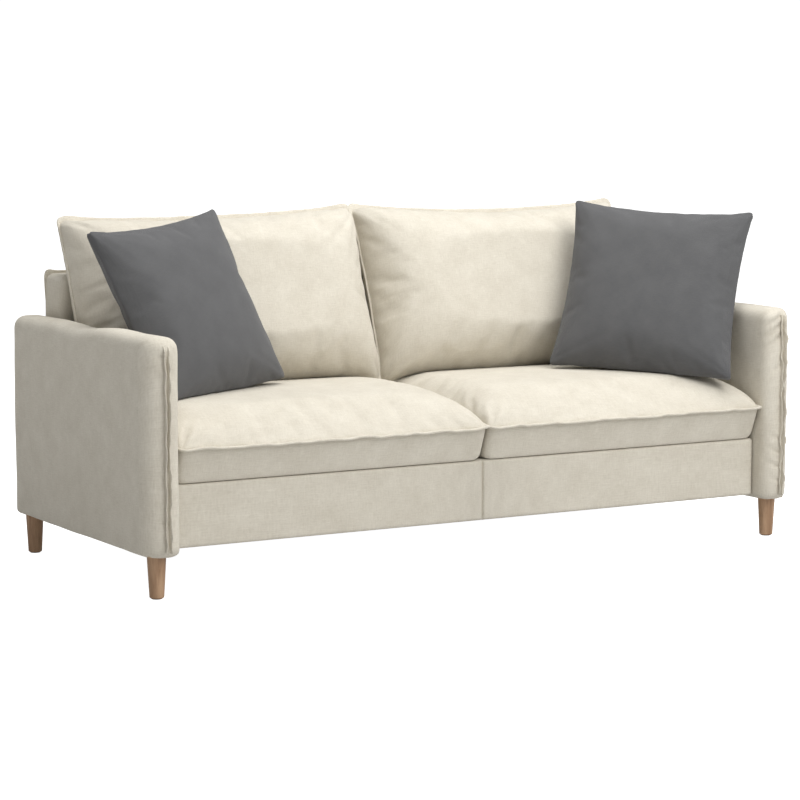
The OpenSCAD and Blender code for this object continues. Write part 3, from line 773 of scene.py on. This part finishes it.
def make_border(name, node, others, groove, cells, wrap=0):
    """A flat band of the base with soft edges, and an upright seam in its middle that is groove deep.
    It reaches back past the ends of the rail behind it by wrap."""
    low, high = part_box(node)
    if wrap:
        low = low - Vector((WRAP_STAND_OFF, wrap, 0))
        high = high + Vector((WRAP_STAND_OFF, 0, 0))
    half = (high - low) / 2
    piece, unit = lattice(name, *cells, BORDER_COURSES, (half.x, half.z, half.y))
    course = course_of(unit, BORDER_COURSES)
    soft = np.where((course == 0) | (course == BORDER_COURSES), BORDER_EDGE, 0)
    middle = (low + high) / 2
    gathered = 0.25 * unit[:, 0] + 0.75 * unit[:, 0] ** 3  # closer together at the seam
    x = gathered * (half.x - soft)
    z = unit[:, 1] * (half.z - soft)
    at = np.stack([middle.x + x, middle.y + unit[:, 2] * half.y, middle.z + z], axis=1)
    outside = -1 if middle.y < 0 else 1
    face = course == (0 if outside < 0 else BORDER_COURSES)
    at[:, 1] -= outside * face * groove * gauss(at[:, 0], 0, BORDER_GROOVE_W)
    at[:, 1] += outside * face * 0.7 * MM * drift(at, 7, 61)
    put(piece.data, at)
    face_outwards(piece)
    refine(piece)
    dress(piece, cream_linen, "sofa_frame", "cream_cloth", node, *others)


def make_lining(name, node, material, slot, cells, dimple, step, rim=0, raised=0):
    """A sheet tacked over the base, drawn down between tacks that are a step apart. It ends a rim short
    of its node all round, and lies raised above it."""
    low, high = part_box(node)
    half = (high - low) / 2
    piece, unit = lattice(name, *cells, 1, half)
    middle = (low + high) / 2
    half = half - Vector((rim, rim, 0))
    at = np.array(middle) + unit * np.array(half) + (0, 0, raised)
    slack = crown(unit[:, 0], unit[:, 1], ((8, 1), (8, 1)))
    between = 0.6 + 0.4 * np.cos(at[:, 0] / step * 2 * math.pi) + 0.3 * drift(at, 6, 71)
    at[:, 2] += slack * dimple * between
    put(piece.data, at)
    dress(piece, material, "sofa_frame", slot, node)


# ---- Seat cushions ----

SEAT_CROWN_POWERS = ((9, 3.4), (2.6, 2.6))
SEAT_BOXING = 6  # courses in a seat cushion's side panels
SEAT_SHOULDER = 5  # courses from the welt's seam to the crown
SEAT_CELLS = (66, 52)
SEAT_SEAM = 78 * MM  # the welt's seam, above a cushion's underside
SEAT_PLAN_R = 17 * MM
SEAT_LEVELS = [0, 5 * MM, 15 * MM, 31 * MM, 47 * MM, 63 * MM]
SEAT_TUCKS = [20, 25, 24, 19, 12.5, 6]  # millimetres that each course's front leans back
SEAT_WELT_THICK = 6.5 * MM
MAP_HALF_T = 0.08  # half of a cushion's thickness, for its weave map


def stacked_insets(lower, count, reach):
    """How far each course stands in from a pad's plan: the given ones, then an easing shoulder"""
    upper = [reach * (k / count) ** 2 for k in range(1, count + 1)]
    return np.array(list(lower) + upper)


def make_seat(label, side):
    low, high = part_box(f"seat_cover_{label}")
    middle = Vector(((low.x + high.x) / 2, (low.y + high.y) / 2, low.z))
    half_w, half_d = (high.x - low.x) / 2 - 1 * MM, (high.y - low.y) / 2
    rise = high.z - low.z - SEAT_SEAM
    courses = SEAT_BOXING + SEAT_SHOULDER
    piece, unit = lattice(f"seat_cushion_{label}", *SEAT_CELLS, courses, (half_w, half_d, MAP_HALF_T))
    course = course_of(unit, courses)
    insets = stacked_insets([12 * MM, 4 * MM, 0.5 * MM, 0, 0, 0, 0], SEAT_SHOULDER, 26 * MM)[course]
    tuck = np.array(SEAT_TUCKS + [0] * (SEAT_SHOULDER + 1))[course] * MM
    level = np.array(SEAT_LEVELS + [SEAT_SEAM] * (SEAT_SHOULDER + 1))[course]
    x = unit[:, 0] * (half_w - insets)
    y = unit[:, 1] * (half_d - insets)
    full = crown(x / half_w, y / half_d, SEAT_CROWN_POWERS)
    above = course > SEAT_BOXING
    z = level + np.where(above, full * rise * starting_share(0.93), 0)
    x, y = round_corners(x, y, half_w - insets, half_d - insets, SEAT_PLAN_R)
    y = y + tuck * np.clip(-y / half_d, 0, 1) ** 2  # the front leans back below its seam
    at = np.stack([x, y, z], axis=1)
    seed = 3 if side < 0 else 8
    ripple = drift(at, 22, seed)
    edge = np.exp(-np.minimum(half_w - np.abs(x), half_d - np.abs(y)) / (40 * MM))
    at[:, 2] += np.where(above, ripple * edge * 2.5 * MM, 0)
    put(piece.data, at)
    pin(piece, (course <= SEAT_BOXING).astype(float))
    return piece, middle, (half_w, half_d, rise), course == SEAT_BOXING


def finish_seat(piece, label, side, middle, size, on_seam):
    half_w, half_d, rise = size
    at = places(piece.data)
    above = at[:, 2] > SEAT_SEAM
    top = at[:, 2].max() - SEAT_SEAM
    at[above, 2] = SEAT_SEAM + (at[above, 2] - SEAT_SEAM) * min(1.04, rise / top)
    at[:, 0] = np.clip(at[:, 0], -half_w - 1 * MM, half_w + 1 * MM)
    at[:, 1] = np.clip(at[:, 1], -half_d - 4 * MM, half_d)
    at[:, 2] = np.maximum(at[:, 2], 0)
    put(piece.data, at)
    seed = 17 if side < 0 else 29

    def lip(root, share):
        outward = Vector((root.x / half_w, root.y / half_d, 0))
        outward = Vector((math.copysign(abs(outward.x) ** 14, outward.x),
                          math.copysign(abs(outward.y) ** 14, outward.y), 0))
        if outward.length > 0:
            outward.normalize()
        run = root.x * 24 if abs(outward.y) > abs(outward.x) else root.y * 24
        wave = noise.noise(Vector((run, seed, 0.2)))
        fine = noise.noise(Vector((run * 3.1, seed, 0.9)))
        flank = abs(outward.x) * (1 - abs(outward.y))
        width = (11 + 3 * fine + 7 * abs(outward.x * outward.y)) * MM
        out = outward * width * (share * (1 - 0.93 * flank)) - outward * 5 * MM * (1 - share)
        up = (2.5 + 3 * wave + 2.6 * fine + 9 * flank) * MM * share
        return Vector((out.x, out.y, up + (2.4 * wave + 1.6 * fine) * MM))

    lip_piece = welt(f"seat_welt_{label}", piece, on_seam, lip, LIP_ROWS, SEAT_WELT_THICK)
    refine(piece)
    for part in (piece, lip_piece):
        move(part, Matrix.Translation(middle))
    dress(piece, cream_linen, f"seat_cushion_{label}", "cream_cloth",
          f"seat_cover_{label}", f"seat_foam_{label}")
    dress(lip_piece, cream_trim, f"seat_cushion_{label}", "cream_cloth")


# ---- Back cushions ----

LEAN = math.radians(20)
BACK_SEAM = 20 * MM  # the seam's distance from a back cushion's rear face
BACK_REAR = 3  # courses from the rear face to the seam
BACK_SHOULDER = 5  # courses from the seam to the crown
BACK_CELLS = (66, 38)
BACK_POWERS = ((5, 2.3), (4.2, 2.3))
BACK_HEIGHT = 446 * MM
BACK_DEPTH = 150 * MM
BACK_PLAN_R = 16 * MM
BACK_WELT_THICK = 5 * MM
BACK_FOLD_GAIN = 0.8
SEAT_FALL = 60 * MM  # how much lower a seat is at its front and rear than in its middle
STAND_OFF = 2 * MM


def cushion_frame(label):
    """A back cushion's own frame: X across, Y up the lean and Z out of the face. Its rear face clears
    the back frame's upper edge, and its foot clears the seat's arched top."""
    low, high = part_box(f"back_cushion_cover_{label}")
    back_low, back_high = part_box("back_cover")
    seat_low, seat_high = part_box(f"seat_cover_{label}")
    turn = Matrix.Rotation(math.pi / 2 - LEAN, 4, "X")
    corner = turn.inverted() @ Vector((0, back_low.y, back_high.z))
    out = corner.z + STAND_OFF
    middle_y = (seat_low.y + seat_high.y) / 2
    half_d = (seat_high.y - seat_low.y) / 2
    arc = (half_d**2 + SEAT_FALL**2) / (2 * SEAT_FALL)
    up = (turn.inverted() @ Vector((0, middle_y, seat_high.z - arc))).y + arc + STAND_OFF
    return turn @ Matrix.Translation(((low.x + high.x) / 2, 0, 0)) @ Matrix.Translation((0, up, out))


def make_back_cushion(label, side):
    low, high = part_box(f"back_cushion_cover_{label}")
    half_w = (high.x - low.x) / 2 - 1.5 * MM
    half_h = BACK_HEIGHT / 2
    courses = BACK_REAR + BACK_SHOULDER
    piece, unit = lattice(f"back_cushion_{label}", *BACK_CELLS, courses, (half_w, half_h, MAP_HALF_T))
    course = course_of(unit, courses)
    insets = stacked_insets([14 * MM, 4 * MM, 1 * MM, 0], BACK_SHOULDER, 34 * MM)[course]
    level = np.array([0, 4 * MM, 12 * MM] + [BACK_SEAM] * (BACK_SHOULDER + 1))[course]
    x = unit[:, 0] * (half_w - insets)
    y = unit[:, 1] * (half_h - insets)
    rise = BACK_DEPTH - BACK_SEAM
    full = crown(x / half_w, y / half_h, BACK_POWERS)
    front = course > BACK_REAR
    z = level + np.where(front, full * rise * starting_share(0.93), 0)
    x, y = round_corners(x, y, half_w - insets, half_h - insets, BACK_PLAN_R)
    seed = 5 if side < 0 else 14
    ends = (x / half_w) ** 2
    tip = (y + half_h) / (2 * half_h)
    sag = (20 * MM * (1 - ends) - 4 * MM) * tip**2
    drop = 16 * MM * np.abs(x / half_w) ** 6 * (1 - tip) ** 2
    pull = 7 * MM * (1 - (y / half_h) ** 2)
    if side < 0:  # its outer upper corner has sunk
        y = y - 16 * MM * tip**2 * np.clip(-x / half_w, 0, 1)
    y = y - sag - drop
    x = x - np.sign(x) * pull * np.abs(x / half_w) ** 3
    at = np.stack([x, y, z], axis=1)
    at[:, 2] += np.where(front, drift(at, 20, seed) * 2 * MM, 0)
    put(piece.data, at)
    held = (course == 0) | (course == BACK_REAR)
    pin(piece, held.astype(float))
    return piece, cushion_frame(label), course == BACK_REAR


BACK_FOLDS = {  # from, to, width and depth, over a back cushion's face
    "left": [((0.385, 0.20), (0.20, 0.05), 15, 5), ((0.385, 0.21), (0.14, 0.12), 14, 4.5),
             ((0.38, 0.19), (0.29, 0.0), 13, 4), ((0.22, 0.20), (0.10, 0.09), 12, 3),
             ((-0.39, 0.02), (-0.26, 0.03), 14, 3.5), ((-0.39, -0.08), (-0.27, -0.06), 13, 3),
             ((-0.38, 0.20), (-0.27, 0.08), 13, 3.5)],
    "right": [((-0.385, 0.20), (-0.30, 0.10), 10, 2), ((0.02, 0.20), (0.10, 0.09), 9, 3.5),
              ((0.08, 0.20), (0.18, 0.07), 10, 4), ((0.15, 0.20), (0.24, 0.06), 9, 3.5),
              ((0.385, 0.20), (0.24, 0.10), 14, 3.5), ((-0.39, 0.01), (-0.33, 0.012), 7, 2),
              ((-0.39, -0.03), (-0.33, -0.03), 7, 2.2), ((-0.39, -0.08), (-0.34, -0.075), 7, 2)],
}


def finish_back_cushion(piece, label, side, stand, on_seam, seats):
    at = places(piece.data)
    low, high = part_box(f"back_cushion_cover_{label}")
    half_w = (high.x - low.x) / 2
    half_h = BACK_HEIGHT / 2
    at[:, 0] = np.clip(at[:, 0], -half_w, half_w)
    at[:, 2] = np.clip(at[:, 2], 0, BACK_DEPTH + 4 * MM)
    put(piece.data, at)
    seed = 31 if side < 0 else 37

    def lip(root, share):
        outward = Vector((math.copysign(abs(root.x / half_w) ** 16, root.x),
                          math.copysign(abs(root.y / half_h) ** 16, root.y), 0))
        if outward.length > 1e-4:
            outward.normalize()
        run = root.x * 20 if abs(outward.y) > abs(outward.x) else root.y * 20
        wave = noise.noise(Vector((run, seed, 0.4)))
        fine = noise.noise(Vector((run * 3, seed, 0.8)))
        beside = abs(outward.x) * (1 - abs(outward.y))
        width = (11 + 2 * fine + 18 * abs(outward.x * outward.y)) * MM
        out = outward * (width * share * (1 - 0.8 * beside) - 5 * MM * (1 - share))
        forward = (1.5 * wave + 6 * beside) * MM * share + 1.2 * MM * wave
        return Vector((out.x, out.y, forward))

    lip_piece = welt(f"back_welt_{label}", piece, on_seam, lip, LIP_ROWS, BACK_WELT_THICK)
    refine(piece)
    at = places(piece.data)
    normal = normals_of(piece.data)
    face = np.clip((at[:, 2] - BACK_SEAM) / (30 * MM), 0, 1)
    fold = np.zeros(len(at))
    for start, end, width, depth in BACK_FOLDS[label]:
        fold -= crease(at[:, 0], at[:, 1], start, end, width * MM) * depth * BACK_FOLD_GAIN * MM
    at += normal * (fold * face)[:, None]
    put(piece.data, at)
    settle = tree_of(*seats)
    for part in (piece, lip_piece):
        move(part, stand @ Matrix.Translation((0, half_h, 0)))
        press(part, settle, (0, 0, 1), STAND_OFF)
    dress(piece, cream_linen, f"back_cushion_{label}", "cream_cloth",
          f"back_cushion_cover_{label}", f"back_cushion_fill_{label}")
    dress(lip_piece, cream_trim, f"back_cushion_{label}", "cream_cloth")


# ---- Throw pillows ----

PILLOWS = {  # size, then turn about Z, lean and roll in degrees
    "left": (450 * MM, (21.4, 25.2, -5.6)),
    "right": (468 * MM, (-43.1, 28.6, 3.9)),
}
PILLOW_T = 134 * MM
PILLOW_MAP_T = 0.02  # half of a pillow's thickness, for its weave map
PILLOW_SHOULDER = 4
PILLOW_POWERS = ((2.8, 1.9), (2.8, 1.9))
PILLOW_PULL = 16 * MM  # how far each edge is drawn in, in its middle
PILLOW_CELLS = 40
PILLOW_PLAN_R = 11 * MM
PILLOW_EDGE_T = 5 * MM  # half of a pillow's least thickness
PILLOW_INSETS = [3.5 * MM, 0, 5 * MM, 12 * MM, 23 * MM]  # from the seam to the crown
PILLOW_BODY = 14 * MM  # how much further than its rear a pillow's front stands off
PILLOW_FOLDS = ((0.35, 0.12), (-0.3, 0.10))  # bend and reach of the folds at each corner


def pillow_frame(label):
    """A throw pillow's own frame: X across, Y up its face and Z out of the side that faces the room"""
    arm_low, arm_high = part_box(f"arm_cover_{label}")
    back_low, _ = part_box("back_cover")
    _, seat_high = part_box(f"seat_cover_{label}")
    turn = [math.radians(a) for a in PILLOWS[label][1]]
    if label == "left":
        at = Vector((arm_high.x + 197 * MM, back_low.y - 290 * MM, seat_high.z + 193 * MM))
    else:
        at = Vector((arm_low.x - 165 * MM, back_low.y - 402 * MM, seat_high.z + 200 * MM))
    facing = (Matrix.Rotation(turn[0], 4, "Z") @ Matrix.Rotation(-turn[1], 4, "X")
              @ Matrix.Rotation(turn[2], 4, "Y") @ Matrix.Rotation(math.pi / 2, 4, "X"))
    return Matrix.Translation(at) @ facing


def make_pillow(label, side):
    size, _ = PILLOWS[label]
    half = size / 2
    courses = 2 * PILLOW_SHOULDER
    piece, unit = lattice(f"throw_pillow_{label}", PILLOW_CELLS, PILLOW_CELLS, courses,
                          (half, half, PILLOW_MAP_T))
    course = course_of(unit, courses)
    steps = np.abs(np.arange(courses + 1) - PILLOW_SHOULDER) / PILLOW_SHOULDER
    inset = np.interp(steps, [0, 0.25, 0.5, 0.75, 1], PILLOW_INSETS)[course]
    x = unit[:, 0] * (half - inset)
    y = unit[:, 1] * (half - inset)
    full = crown(x / half, y / half, PILLOW_POWERS) * PILLOW_T / 2 * starting_share(0.9)
    full = np.maximum(full, PILLOW_EDGE_T)
    z = np.sign(course - PILLOW_SHOULDER) * full
    x, y = round_corners(x, y, half - inset, half - inset, PILLOW_PLAN_R)
    px = x * (1 - PILLOW_PULL / half * (1 - (y / half) ** 2))
    pull = np.where(y > 0, 1, 0.1) * PILLOW_PULL  # the lower edge rests on the seat
    py = y * (1 - pull / half * (1 - (x / half) ** 2))
    at = np.stack([px, py, z], axis=1)
    at[:, 2] += np.where(course != PILLOW_SHOULDER, drift(at, 18, 50 + side) * 1.5 * MM, 0)
    put(piece.data, at)
    pin(piece, (course == PILLOW_SHOULDER).astype(float))
    return piece, pillow_frame(label)


def finish_pillow(piece, label, stand, seats, cushions):
    refine(piece)
    at = places(piece.data)
    normal = normals_of(piece.data)
    half = PILLOWS[label][0] / 2
    fold = np.zeros(len(at))
    for sx, sy in ((-1, -1), (1, -1), (-1, 1), (1, 1)):
        corner = (sx * half * 0.97, sy * half * 0.97)
        for bend, reach in PILLOW_FOLDS:
            end = (corner[0] - sx * reach * (1 + bend), corner[1] - sy * reach * (1 - bend))
            fold -= crease(at[:, 0], at[:, 1], corner, end, 12 * MM) * 1.8 * MM
    at += normal * fold[:, None]
    put(piece.data, at)
    front = np.clip(at[:, 2] / (20 * MM), 0, 1)
    move(piece, stand)
    facing = stand.to_3x3() @ Vector((0, 0, 1))
    press(piece, tree_of(*cushions), facing, STAND_OFF, front * PILLOW_BODY)
    press(piece, tree_of(*seats), (0, 0, 1), STAND_OFF)
    dress(piece, grey_cloth, f"throw_pillow_{label}", "grey_cloth",
          f"pillow_cover_{label}", f"pillow_fill_{label}")


# ---- The sofa ----

for label, side in SIDES:
    make_arm(label, side)
make_back()
make_border("front_border", "front_border_cover", ["front_border_foam"], groove=7 * MM, cells=(240, 20))
make_border("rear_border", "rear_border_cover", [], groove=0, cells=(160, 16), wrap=25 * MM)
make_lining("deck_lining", "deck_cloth", cream_linen, "cream_cloth", (80, 34),
            dimple=-1.2 * MM, step=0.17)
make_lining("base_lining", "dust_cover", slot_finishes["dust_cloth"], "dust_cloth", (60, 26),
            dimple=-1.5 * MM, step=0.2, rim=7 * MM, raised=2.2 * MM)

seat_parts = [(label, side, *make_seat(label, side)) for label, side in SIDES]
seats = [part[2] for part in seat_parts]
swell(seats, pressure=4, growth=0.02, reach=26 * MM)
for label, side, piece, middle, size, on_seam in seat_parts:
    finish_seat(piece, label, side, middle, size, on_seam)

cushion_parts = [(label, side, *make_back_cushion(label, side)) for label, side in SIDES]
cushions = [part[2] for part in cushion_parts]
swell(cushions, pressure=4, growth=0.02, reach=26 * MM)
for label, side, piece, stand, on_seam in cushion_parts:
    finish_back_cushion(piece, label, side, stand, on_seam, seats)

pillow_parts = [(label, *make_pillow(label, side)) for label, side in SIDES]
swell([part[1] for part in pillow_parts], pressure=3, growth=0.01, reach=22 * MM)
for label, piece, stand in pillow_parts:
    finish_pillow(piece, label, stand, seats, cushions)


# ---- Finishes on the CAD nodes that stay ----

for entry in frame["record"]["subparts"]:
    skin = frame["nodes"][entry["node"]].data
    skin.materials.clear()
    skin.materials.append(slot_finishes[entry["material_slot"]])
